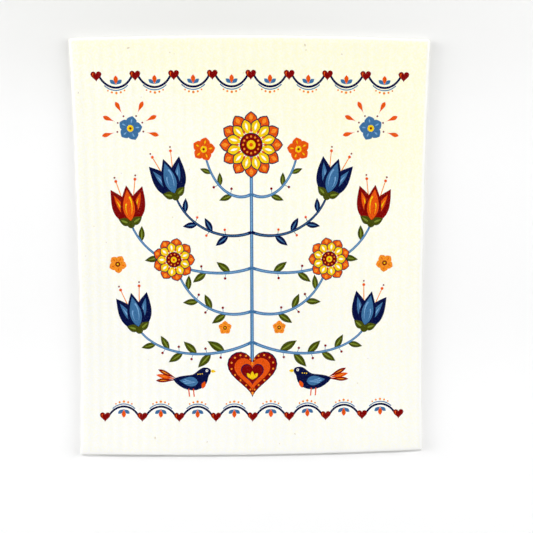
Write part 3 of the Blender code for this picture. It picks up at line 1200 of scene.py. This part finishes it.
@dataclass(frozen=True)
class Cut:
    """The flat sheet as it was cut and pressed."""

    width: float = 170.0
    length: float = 200.0
    thickness: float = 2.0
    corner_radius: float = 1.2
    corner_steps: int = 3
    edge_round: float = 0.5
    edge_steps: int = 2

    def profile(self) -> list[Place]:
        """The lines round the rim, from the upper face down to the lower one.

        Returns:
            The inset and the height of each line.
        """
        turns = [math.pi / 2 * step / self.edge_steps for step in range(self.edge_steps + 1)]
        insets = [self.edge_round * (1 - math.sin(a)) for a in turns]
        heights = [self.thickness - self.edge_round * (1 - math.cos(a)) for a in turns]
        upper = list(zip(insets, heights))
        middle = [(0.0, self.thickness / 2)]
        return upper + middle + [(inset, self.thickness - height) for inset, height in reversed(upper)]

    def outline(self, inset: float, pitch: float) -> Outline:
        """The outline of the sheet, or of a line within it.

        Args:
            inset: how far the line is set in from the cut edge.
            pitch: about how far apart its points are on the straight sides.

        Returns:
            The outline, anticlockwise.
        """
        radius = self.corner_radius - inset
        across, along = self.width / 2 - self.corner_radius, self.length / 2 - self.corner_radius
        corners = [Vector((x * across, y * along)) for x, y in ((1, 1), (-1, 1), (-1, -1), (1, -1))]
        points = []
        for index, corner in enumerate(corners):
            for step in range(self.corner_steps + 1):
                a = math.pi / 2 * (index + step / self.corner_steps)
                side = Vector((math.cos(a), math.sin(a)))
                points.append(corner + radius * side)
            ahead = corners[(index + 1) % len(corners)]
            pieces = round((ahead - corner).length / pitch)
            points += [corner.lerp(ahead, step / pieces) + radius * side for step in range(1, pieces)]
        return Outline(tuple(points))


@dataclass(frozen=True)
class Relief:
    """The cloth's embossed ribs and its unevenness, all of it pressed inwards from the flat faces.

    The ribs run along the sheet; pitch is the way from crest to crest, and offset is how far from the
    middle of the sheet its nearest crest is.
    """

    pitch: float = 4.8
    offset: float = 0.5
    depth: float = 0.12
    felt_depth: float = 0.08
    felts_per_mm: float = 0.4
    wave_depth: float = 0.12
    waves_per_mm: float = 0.035
    rim_press: float = 0.3
    rim_width: float = 1.7
    fray: float = 0.08
    frays_per_mm: float = 1.3
    seed: float = 3.0


@dataclass(frozen=True)
class Curl:
    """The shape that the sheet dried to: drawn in at the sides, run out at the ends, the edges lifted.

    The middle lies flat, as far as rest_across and rest_along from the origin.
    """

    side_draw: float = 1.7
    end_bow: float = 1.6
    rest_across: float = 50.0
    rest_along: float = 40.0
    side_lift: float = 1.6
    top_lift: float = 1.2
    bottom_lift: float = 1.6
    corner_lift: float = 1.0


class Dry(Recipe):
    """Embosses a flat mesh of the sheet and gives it the shape that it dried to.

    Its inputs are the sheet's Width, Length and Thickness and the fields of Relief and Curl. What each
    noise adds to the seed keeps the noises apart.
    """

    least_groove: float = 0.6
    more_groove: float = 0.8
    patches_per_mm: float = 0.15
    felt_draw: float = 3.0
    wave_draw: float = 7.0
    fray_reach: float = 1.0
    corner_power: float = 3.0

    def __init__(self) -> None:
        """Build the tree."""
        super().__init__("dry")
        flat = self.node("GeometryNodeInputPosition") / MM
        settings = {"data_type": "FLOAT_VECTOR", "domain": "POINT"}
        inputs = {"Geometry": self.shape, "Name": FLAT_PLACE, "Value": flat}
        shape = self.node("GeometryNodeStoreNamedAttribute", settings, inputs)
        x, y, z = self.split(flat)
        half_width, half_length = self.take("Width") * 0.5, self.take("Length") * 0.5
        middle = self.take("Thickness") * 0.5
        upward = (z - middle) / middle
        margin_x, margin_y = half_width - abs(x), half_length - abs(y)
        seed = self.take("Seed")
        sunk = self.emboss(flat, x, seed) + self.felt(flat, seed)
        sunk = sunk + self.waves(flat, seed) * self.work("MAXIMUM", upward, 0.0)
        sunk = sunk + self.press(self.work("MINIMUM", margin_x, margin_y))
        fray = self.take("Fray") * self.noise(flat, self.take("Frays Per Mm"), 2.0, 0.6, seed)
        x = x - self.frayed(x, margin_x, fray)
        y = y - self.frayed(y, margin_y, fray)
        across, along = x / half_width, y / half_length
        lift = self.side_lift(x, along, half_width) + self.end_lift(across, y, half_length)
        x = x - self.take("Side Draw") * across * (1.0 - along * along)
        y = y + self.take("End Bow") * along * (1.0 - across * across)
        dried = self.join(x, y, z - upward * sunk + lift)
        self.close(self.node("GeometryNodeSetPosition", inputs={"Geometry": shape, "Position": dried * MM}))

    def emboss(self, flat: Wire, x: Wire, seed: Wire) -> Wire:
        """The depth of the grooves between the ribs, a little deeper in some places than in others."""
        uneven = self.least_groove + self.more_groove * self.noise(flat, self.patches_per_mm, seed=seed)
        return self.take("Depth") * uneven * self.grooves(x, self.take("Pitch"), self.take("Offset"))

    def felt(self, flat: Wire, seed: Wire) -> Wire:
        """The depth of the small hollows of the felt."""
        hollows = self.noise(flat, self.take("Felts Per Mm"), 2.0, 0.6, seed + self.felt_draw)
        return self.take("Felt Depth") * hollows

    def waves(self, flat: Wire, seed: Wire) -> Wire:
        """The depth of the upper face's slow waves."""
        slow = self.noise(flat, self.take("Waves Per Mm"), 1.0, 0.5, seed + self.wave_draw)
        return self.take("Wave Depth") * slow

    def press(self, margin: Wire) -> Wire:
        """How far the rim is pressed together by the knife that cut it."""
        return self.take("Rim Press") * self.fade(margin, 0.0, self.take("Rim Width"), 1.0, 0.0)

    def frayed(self, distance: Wire, margin: Wire, fray: Wire) -> Wire:
        """How far a place near a cut edge is drawn back to the middle, along one axis."""
        return self.work("SIGN", distance) * fray * self.fade(margin, 0.0, self.fray_reach, 1.0, 0.0)

    def beyond(self, distance: Wire, rest: Wire, half: Wire) -> Wire:
        """How far out a place is: 0 within the flat middle, 1 at the edge, squared."""
        return (self.work("MAXIMUM", abs(distance) - rest, 0.0) / (half - rest)) ** 2.0

    def side_lift(self, x: Wire, along: Wire, half_width: Wire) -> Wire:
        """How far the sides have lifted from the floor, most of all at their middles."""
        away = self.beyond(x, self.take("Rest Across"), half_width)
        return self.take("Side Lift") * away * (1.0 - along * along)

    def end_lift(self, across: Wire, y: Wire, half_length: Wire) -> Wire:
        """How far the ends have lifted, and one corner more than the rest.

        Args:
            across: the place across the sheet, from -1 to 1.
            y: the place along it, in millimetres.
            half_length: how long the half of the sheet is.

        Returns:
            The lift in millimetres.
        """
        top = self.work("GREATER_THAN", y, 0.0)
        corner = self.take("Corner Lift") * self.work("MAXIMUM", across * -1.0, 0.0) ** self.corner_power
        end = self.take("Top Lift") * top + (self.take("Bottom Lift") + corner) * (1.0 - top)
        return end * self.beyond(y, self.take("Rest Along"), half_length)


@dataclass(frozen=True)
class Face:
    """One face of the flat sheet, cut into triangles along the fields of its print.

    points and triangles make its mesh, tops says which field lies on top of each triangle, 0 being the
    bare sheet, and rim gives the points along its edge, in order.
    """

    points: list[Vector]
    triangles: list[list[int]]
    tops: numpy.ndarray
    rim: list[int]


@dataclass(frozen=True)
class Sheet:
    """The cloth itself: one closed sheet whose mesh follows every field of the print.

    clear is how far the grid of points stays from the rim, as a share of its steps.
    """

    cut: Cut = Cut()
    relief: Relief = Relief()
    curl: Curl = Curl()
    step_across: float = 0.8
    step_along: float = 1.0
    under_step_along: float = 2.0
    clear: float = 0.45
    merge: float = 0.04
    name: str = "printed_cloth"

    def grid(self, inset: float, step_along: float) -> list[Vector]:
        """Points spread over one face, close enough for its ribs and clear of its rim.

        Args:
            inset: how far the face is set in from the cut edge.
            step_along: how far apart the points are along the sheet.

        Returns:
            The points, row by row.
        """
        steps = (self.step_across, step_along)
        halves = (self.cut.width / 2 - inset, self.cut.length / 2 - inset)
        columns, rows = (int(half / step - self.clear) for half, step in zip(halves, steps))
        return [
            Vector((column * steps[0], row * steps[1]))
            for row in range(-rows, rows + 1)
            for column in range(-columns, columns + 1)
        ]

    def face(self, inset: float, step_along: float, fields: Sequence[Outline]) -> Face:
        """Cut one face into triangles along the outlines of the fields on it.

        Args:
            inset: how far the face is set in from the cut edge.
            step_along: how far apart its points are along the sheet.
            fields: the outlines, from the lowest field to the one that lies on top.

        Returns:
            The face.
        """
        corners: list[Vector] = []
        sides: list[tuple[int, int]] = []
        rim = self.cut.outline(inset, self.step_along)
        for outline in (rim, *fields):
            numbers = range(len(corners), len(corners) + len(outline.points))
            sides += zip(numbers, (*numbers[1:], numbers[0]))
            corners += outline.points
        corners += self.grid(inset, step_along)
        points, _, triangles, sources, _, _ = delaunay_2d_cdt(corners, sides, [], 1, self.merge)
        where = {source: index for index, group in enumerate(sources) for source in group}
        middles = numpy.array([tuple(point) for point in points])[numpy.array(triangles)].mean(axis=1)
        tops = numpy.zeros(len(triangles), dtype=int)
        for number, outline in enumerate(fields, start=1):
            tops[outline.holds(middles)] = number
        return Face(points, triangles, tops, [where[index] for index in range(len(rim.points))])

    def flat_mesh(self, print_: Motif) -> bpy.types.Mesh:
        """The closed mesh of the flat sheet in metres, with the inks as a colour on each corner.

        Args:
            print_: the fields of the print.

        Returns:
            The mesh: the upper face, the lines round the rim and the lower face.
        """
        profile = self.cut.profile()
        upper = self.face(profile[0][0], self.step_along, [outline for _, outline in print_.fields])
        lower = self.face(profile[-1][0], self.under_step_along, [])
        points = [(p.x, p.y, self.cut.thickness) for p in upper.points]
        faces = [tuple(triangle) for triangle in upper.triangles]
        lines = [upper.rim]
        for inset, height in profile[1:-1]:
            ring = self.cut.outline(inset, self.step_along).points
            lines.append(list(range(len(points), len(points) + len(ring))))
            points += [(p.x, p.y, height) for p in ring]
        lines.append([len(points) + index for index in lower.rim])
        faces += [tuple(len(points) + index for index in reversed(triangle)) for triangle in lower.triangles]
        points += [(p.x, p.y, 0.0) for p in lower.points]
        for above, below in zip(lines, lines[1:]):
            for index, corner in enumerate(above):
                after = (index + 1) % len(above)
                faces.append((corner, below[index], below[after], above[after]))
        mesh = bpy.data.meshes.new(self.name)
        mesh.from_pydata((numpy.array(points) * MM).tolist(), [], faces)
        inks = numpy.array([Ink.BARE.value] + [ink.value for ink, _ in print_.fields])
        printed = numpy.tile(inks[0], (len(mesh.loops), 1))
        printed[: len(upper.tops) * 3] = numpy.repeat(inks[upper.tops], 3, axis=0)
        colours = mesh.color_attributes.new(INK, "FLOAT_COLOR", "CORNER")
        colours.data.foreach_set("color", printed.ravel())
        return mesh

    def build(self, print_: Motif, material: bpy.types.Material) -> bpy.types.Object:
        """Make the finished sheet.

        Args:
            print_: the fields of the print, on the flat sheet.
            material: what the sheet is dressed in.

        Returns:
            The sheet as an object in the scene, in metres.
        """
        cut, relief, curl = self.cut, self.relief, self.curl
        size = {"width": cut.width, "length": cut.length, "thickness": cut.thickness}
        mesh = Dry().run(self.flat_mesh(print_), material, **size, **vars(relief), **vars(curl))
        mesh.name = self.name
        mesh.shade_smooth()
        return put_in_scene(self.name, mesh)


@dataclass(frozen=True)
class ClothFinish:
    """Dry cellulose and cotton: a cream felt of fibres with pores, under matt inks with a fine grain.

    Part of its colour is painted shade: the cream deepens towards the top and top right of the sheet,
    the grooves and pores are duller, and the cut faces round the rim are darker.

    A band says where a share of a colour begins and where it is full. It is in millimetres for
    cloth_shade, deep_cloth_shade and rim, in halves of the sheet's thickness from its middle for
    cut_shade, and otherwise in the value of the noise, the cells or the fibres that it is read from.
    across_fibre, along_fibre and through_fibre are a thread's waves to the millimetre in its three ways,
    and crossing_draw keeps the threads across the sheet apart from those along it.
    """

    cream: Colour = (0.99, 0.99, 0.975)
    # Warm cream: it goes on in random clouds, and as painted shade towards the top and top right, where less
    # light falls.
    warm: Colour = (0.985, 0.975, 0.81)
    # Painted shade: the heading and the bands along which the cream deepens towards the top and top right.
    warm_heading: tuple[float, float, float] = (0.4, 1.0, 0.0)
    warm_band: Band = (-110.0, 120.0)
    warm_share: float = 0.62
    warmer_band: Band = (46.0, 78.0)
    warmer_share: float = 0.36
    clouds_per_mm: float = 0.12
    cloud_share: float = 0.5
    # A dull tint for the random mottles, and for painted shade in the grooves between the ribs.
    dull: Colour = (0.97, 0.945, 0.62)
    groove_share: float = 0.1
    mottles_per_mm: float = 0.9
    mottle_band: Band = (0.41, 0.59)
    mottle_share: float = 0.62
    dull_where_cool: float = 0.4
    pale: Colour = (0.995, 0.995, 0.985)
    pale_band: Band = (0.6, 0.9)
    pale_share: float = 0.5
    # Painted shade: the pores are tinted darker.
    pore_tint: Colour = (0.93, 0.90, 0.72)
    pores_per_mm: float = 1.15
    pore_band: Band = (0.3, 0.1)
    pore_share: float = 0.25
    husk: Colour = (0.58, 0.42, 0.22)
    husks_per_mm: float = 0.12
    husk_band: Band = (0.05, 0.02)
    husk_share: float = 0.4
    rim_band: Band = (2.2, 0.88)
    rim_share: float = 0.9
    rim_waver: float = 0.8
    rim_wavers_per_mm: float = 0.4
    # Painted shade: the cut faces round the rim are darker and browner.
    cut_face: Colour = (0.64, 0.61, 0.52)
    cut_band: Band = (0.96, 0.76)
    cut_share: float = 0.85
    across_fibre: float = 3.2
    along_fibre: float = 0.5
    through_fibre: float = 1.6
    crossing_draw: float = 5.0
    grains_per_mm: float = 1.6
    deep_band: Band = (0.5, 0.32)
    deep_share: float = 0.35
    faded_band: Band = (0.53, 0.72)
    faded_share: float = 0.04
    pore_gap: float = 0.004
    roughness: float = 0.92
    ink_smoothness: float = 0.05
    fibre_roughness: float = 0.06
    specular: float = 0.015
    fibre_height: float = 0.05
    pore_depth: float = 0.05
    lint_height: float = 0.02
    lints_per_mm: float = 4.0
    cut: Cut = Cut()
    relief: Relief = Relief()

    def build(self) -> bpy.types.Material:
        """Make the material, which reads the flat sheet's coordinates and the print's inks.

        Returns:
            The finished material.
        """
        material = bpy.data.materials.new("dry_cellulose")
        graph = emptied(material)
        flat = graph.node("ShaderNodeAttribute", {"attribute_name": FLAT_PLACE}, output="Vector")
        ink = graph.node("ShaderNodeVertexColor", {"layer_name": INK})
        cover = ink.other("Alpha")
        fibres = self.fibres(graph, flat)
        pores = graph.fade(graph.cells(flat, self.pores_per_mm), *self.pore_band)
        bare = self.bare(graph, flat, fibres, pores)
        printed = self.printed(graph, flat, ink)
        uneven = self.fibre_roughness * (fibres - 0.5)
        shader = graph.node(
            "ShaderNodeBsdfPrincipled",
            inputs={
                "Base Color": graph.mix(cover * (1.0 - self.pore_gap * pores), bare, printed),
                "Roughness": self.roughness - self.ink_smoothness * cover + uneven,
                "Specular IOR Level": self.specular,
                "Normal": self.bump(graph, flat, fibres, pores),
            },
        )
        graph.node("ShaderNodeOutputMaterial", inputs={"Surface": shader})
        return material

    def fibres(self, graph: Graph, flat: Wire) -> Wire:
        """Short threads that lie along and across the sheet.

        Args:
            graph: the material's tree.
            flat: the place on the flat sheet.

        Returns:
            Their height, about 0.5.
        """
        fine, long, deep = self.across_fibre, self.along_fibre, self.through_fibre
        along = graph.noise(flat * (fine, long, deep), 1.0, detail=3.0, roughness=0.6)
        across = graph.noise(flat * (long, fine, deep), 1.0, 3.0, 0.6, self.crossing_draw)
        return graph.work("MAXIMUM", along, across)

    def printed(self, graph: Graph, flat: Wire, ink: Wire) -> Wire:
        """An ink with its fine grain: deeper in some grains, and a little faded in others.

        Args:
            graph: the material's tree.
            flat: the place on the flat sheet.
            ink: the plain colour of the ink.

        Returns:
            The colour.
        """
        grain = graph.noise(flat, self.grains_per_mm, detail=3.0, roughness=0.65)
        deep = graph.mix(graph.fade(grain, *self.deep_band, 0.0, self.deep_share), ink, BLACK)
        return graph.mix(graph.fade(grain, *self.faded_band, 0.0, self.faded_share), deep, self.cream)

    def bare(self, graph: Graph, flat: Wire, fibres: Wire, pores: Wire) -> Wire:
        """The cloth's colour: cream in slow clouds and pale at the rim, with painted shade on it.

        The painted shade makes it creamier towards the top and top right, duller in the grooves and pores,
        and darker on the cut faces.

        Args:
            graph: the material's tree.
            flat: the place on the flat sheet.
            fibres: the threads' height, about 0.5.
            pores: 1 inside the pores, and else 0.

        Returns:
            The colour.
        """
        x, y, z = graph.split(flat)
        heading = graph.measure("DOT_PRODUCT", flat, self.warm_heading)
        clouds = graph.noise(flat, self.clouds_per_mm, detail=4.0, roughness=0.7) - 0.5
        # Painted shade: the cream deepens towards the top and top right, on top of the random clouds.
        warmth_and_shade = self.warm_share * graph.fade(heading, *self.warm_band) + self.cloud_share * clouds
        warmth_and_shade = warmth_and_shade + self.warmer_share * graph.fade(heading, *self.warmer_band)
        # Painted shade in the grooves between the ribs, by the same waves as their relief.
        groove_shade = graph.grooves(x, self.relief.pitch, self.relief.offset)
        mottle = graph.noise(flat, self.mottles_per_mm, detail=3.0, roughness=0.65)
        mottle = graph.fade(mottle, *self.mottle_band)
        mottle_and_groove_shade = self.groove_share * groove_shade + self.mottle_share * mottle
        mottle_and_groove_shade = mottle_and_groove_shade * (self.dull_where_cool + (1.0 - self.dull_where_cool) * warmth_and_shade)
        husks = graph.fade(graph.cells(flat, self.husks_per_mm), *self.husk_band, 0.0, self.husk_share)
        margin = graph.work("MINIMUM", self.cut.width / 2 - abs(x), self.cut.length / 2 - abs(y))
        margin = margin + self.rim_waver * (graph.noise(flat, self.rim_wavers_per_mm) - 0.5)
        half = self.cut.thickness / 2
        depth = abs(z - half) / half
        colour = graph.mix(warmth_and_shade, self.cream, self.warm)
        for share, tint in (
            (mottle_and_groove_shade, self.dull),
            # Painted shade in the pores.
            (self.pore_share * pores, self.pore_tint),
            (graph.fade(fibres, *self.pale_band, 0.0, self.pale_share), self.pale),
            (husks, self.husk),
            (graph.fade(margin, *self.rim_band, 0.0, self.rim_share), self.pale),
            # Painted shade on the cut faces.
            (graph.fade(depth, *self.cut_band, 0.0, self.cut_share), self.cut_face),
        ):
            colour = graph.mix(share, colour, tint)
        return colour

    def bump(self, graph: Graph, flat: Wire, fibres: Wire, pores: Wire) -> Wire:
        """The normal over fibres, pores and lint.

        Args:
            graph: the material's tree.
            flat: the place on the flat sheet.
            fibres: the threads' height, about 0.5.
            pores: 1 inside the pores, and else 0.

        Returns:
            The normal.
        """
        lint = self.lint_height * graph.noise(flat, self.lints_per_mm, detail=3.0, roughness=0.6)
        height = self.fibre_height * fibres - self.pore_depth * pores + lint
        return graph.node("ShaderNodeBump", inputs={"Strength": 1.0, "Distance": MM, "Height": height})


@dataclass(frozen=True)
class FloorFinish:
    """A matt near-white floor.

    It has painted shade, a little greyer beyond the cloth's top, and to the camera a faint painted light
    at the cloth's foot. Far off it is as white as the sky. Bands and places are in metres.
    """

    white: Colour = (0.965, 0.965, 0.965)
    # Painted shade on the floor beyond the cloth's top, fading out to the sides.
    grey: Colour = (0.83, 0.832, 0.813)
    grey_band: Band = (0.04, 0.115)
    grey_middle: float = -0.02
    grey_half: float = 0.2
    grey_aside: float = 0.35
    # Painted light: a faint glow, seen only by the camera, on the floor at the cloth's foot.
    glow: float = 0.06
    glow_band: Band = (-0.02, -0.1)
    far_band: Band = (0.25, 0.8)
    roughness: float = 0.9

    def build(self) -> bpy.types.Material:
        """Make the material.

        Returns:
            The finished material.
        """
        material = bpy.data.materials.new("pale_floor")
        graph = emptied(material)
        place = graph.node("ShaderNodeTexCoord", output="Object")
        x, y, _ = graph.split(place)
        # Painted shade: greyer beyond the cloth's top.
        aside = graph.fade(abs(x - self.grey_middle), 0.0, self.grey_half, 1.0, self.grey_aside)
        colour = graph.mix(graph.fade(y, *self.grey_band) * aside, self.white, self.grey)
        inputs = {"Base Color": colour, "Roughness": self.roughness, "Specular IOR Level": 0.0}
        matt = graph.node("ShaderNodeBsdfPrincipled", inputs=inputs)
        seen = graph.node("ShaderNodeLightPath", output="Is Camera Ray")
        # Painted light: the floor glows faintly to the camera at the cloth's foot.
        glow = graph.mix(seen * graph.fade(y, *self.glow_band, 0.0, self.glow), BLACK, WHITE)
        painted_light_shader = graph.node("ShaderNodeEmission", inputs=(glow,))
        near = graph.node("ShaderNodeAddShader", inputs=(matt, painted_light_shader))
        far = seen * graph.fade(graph.measure("LENGTH", place), *self.far_band)
        backdrop = graph.node("ShaderNodeEmission", inputs=(WHITE,))
        whole = graph.node("ShaderNodeMixShader", inputs=(far, near, backdrop))
        graph.node("ShaderNodeOutputMaterial", inputs={"Surface": whole})
        return material


@dataclass(frozen=True)
class Softbox:
    """A square soft lamp that looks at the cloth.

    azimuth is in degrees anticlockwise from +X, distance and size are in metres, and level is the share of
    the plain light that it gives at the cloth.
    """

    name: str
    azimuth: float
    elevation: float
    distance: float
    size: float
    level: float

    def place(self) -> None:
        """Hang the lamp."""
        a, e = math.radians(self.azimuth), math.radians(self.elevation)
        back = Vector((math.cos(a) * math.cos(e), math.sin(a) * math.cos(e), math.sin(e)))
        lamp = bpy.data.lights.new(self.name, "AREA")
        lamp.shape, lamp.size = "SQUARE", self.size
        # The light of a broad lamp's edges arrives weaker and aslant, and this makes up for that.
        broad = (1 + (self.size / self.distance) ** 2 / 6) ** 2
        lamp.energy = self.level * broad * (math.pi * self.distance) ** 2 / math.sin(e)
        item = put_in_scene(self.name, lamp)
        item.location = back * self.distance
        item.rotation_euler = back.to_track_quat("Z", "Y").to_euler()
        item.visible_camera = False


@dataclass(frozen=True)
class Viewpoint:
    """The photograph's camera: its place in millimetres, turn in degrees and focal length in pixels."""

    place: tuple[float, float, float] = (0.77, 17.98, 292.33)
    turn: tuple[float, float, float] = (-5.017, -1.272, -0.189)
    focal_px: float = 600.0
    image_px: float = 533.0
    sensor: float = 36.0

    def set(self) -> None:
        """Make the camera the scene's own."""
        lens = bpy.data.cameras.new("camera")
        lens.sensor_width = self.sensor
        lens.lens = self.sensor * self.focal_px / self.image_px
        camera = put_in_scene("camera", lens)
        camera.location = Vector(self.place) * MM
        camera.rotation_euler = tuple(math.radians(angle) for angle in self.turn)
        bpy.context.scene.camera = camera


@dataclass(frozen=True)
class Studio:
    """The floor, the lamps, the sky and the camera; floor_side is in metres."""

    floor_side: float = 6.0
    sky_level: float = 0.03
    lamps: tuple[Softbox, ...] = (
        Softbox("key", 92.0, 57.0, 4.0, 0.4, 0.36),
        Softbox("fill", -90.0, 18.0, 1.5, 0.3, 0.03),
        Softbox("right", 10.0, 31.0, 1.5, 1.2, 0.25),
        Softbox("left", 170.0, 31.0, 1.5, 1.2, 0.20),
        Softbox("low_right", 12.0, 18.0, 1.5, 0.5, 0.04),
        Softbox("low_left", 168.0, 14.0, 1.5, 0.5, 0.10),
    )
    view: Viewpoint = Viewpoint()

    def build(self) -> None:
        """Set up everything that isn't part of the cloth."""
        bpy.context.scene.view_settings.view_transform = "Standard"
        self.view.set()
        self.lay_floor()
        self.light_sky()
        for lamp in self.lamps:
            lamp.place()

    def lay_floor(self) -> None:
        """Lay a flat floor under the cloth."""
        half = self.floor_side / 2
        corners = [(x * half, y * half, 0.0) for x, y in ((-1, -1), (1, -1), (1, 1), (-1, 1))]
        mesh = bpy.data.meshes.new("floor")
        mesh.from_pydata(corners, [], [range(len(corners))])
        mesh.materials.append(FloorFinish().build())
        floor = put_in_scene("floor", mesh)

    def light_sky(self) -> None:
        """Make an even white sky, at full strength only where the camera sees it."""
        world = bpy.data.worlds.new("sky")
        bpy.context.scene.world = world
        graph = emptied(world)
        seen = graph.node("ShaderNodeLightPath", output="Is Camera Ray")
        strength = self.sky_level + (1.0 - self.sky_level) * seen
        background = graph.node("ShaderNodeBackground", inputs={"Color": WHITE, "Strength": strength})
        graph.node("ShaderNodeOutputWorld", inputs={"Surface": background})


def main() -> None:
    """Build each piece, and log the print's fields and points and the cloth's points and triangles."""
    logging.basicConfig(level=logging.INFO, format="%(message)s")
    Studio().build()
    finish = ClothFinish().build()
    press = Press(RingRepeat(finish), RowRepeat(finish), SprayRepeat(finish))
    print_ = FolkPrint().draw(press)
    points = sum(len(outline.points) for _, outline in print_.fields)
    log.info("print: %d fields, %d points", len(print_.fields), points)
    sheet = Sheet()
    cloth = sheet.build(print_, finish)
    triangles = sum(len(face.vertices) - 2 for face in cloth.data.polygons)
    log.info("%s: %d points, %d triangles", cloth.name, len(cloth.data.vertices), triangles)
    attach(cloth, "root")
    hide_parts(NODE)


if __name__ == "__main__":
    main()
